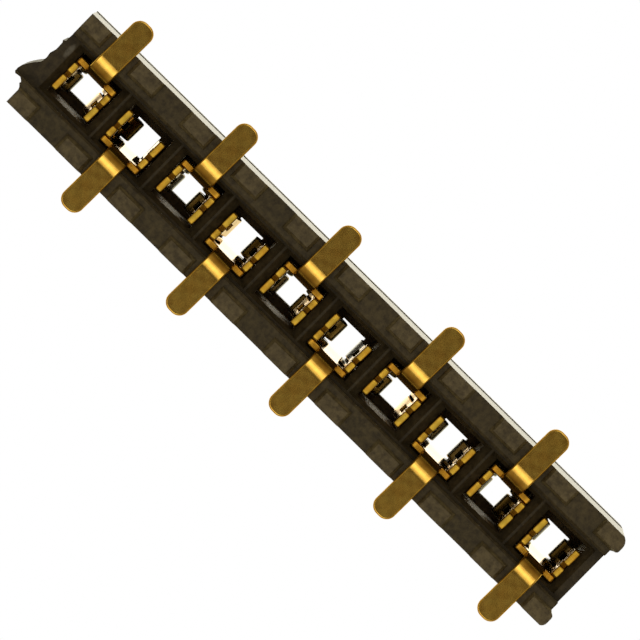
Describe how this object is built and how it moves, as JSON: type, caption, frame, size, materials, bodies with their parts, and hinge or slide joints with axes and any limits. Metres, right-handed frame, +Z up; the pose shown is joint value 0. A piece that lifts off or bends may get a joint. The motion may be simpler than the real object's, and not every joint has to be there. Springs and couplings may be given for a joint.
{
  "type": "surface-mount socket strip",
  "caption": "Single-row surface-mount socket strip: dark moulded housing with square pin entries and gold spring contacts whose flat solder tails point alternately to either side.",
  "frame": {"origin": "middle of the contact row, on the plane of the solder tails' soles", "axes": "+X along the row towards the moulded end, +Y across it towards the tails of the even contacts, +Z up from the board to the mating face"},
  "size_m": [0.0134, 0.0032, 0.003],
  "materials": {
    "housing_plastic": "moulded heat-resistant plastic, near black with a warm grey cast, matt with a fine grain",
    "contact_gold": "stamped copper alloy with a satin gold plating"
  },
  "bodies": {
    "root": {"housing": "housing_plastic", "contact_01": "contact_gold", "contact_02": "contact_gold", "contact_03": "contact_gold", "contact_04": "contact_gold", "contact_05": "contact_gold", "contact_06": "contact_gold", "contact_07": "contact_gold", "contact_08": "contact_gold", "contact_09": "contact_gold", "contact_10": "contact_gold"}
  },
  "joints": []
}
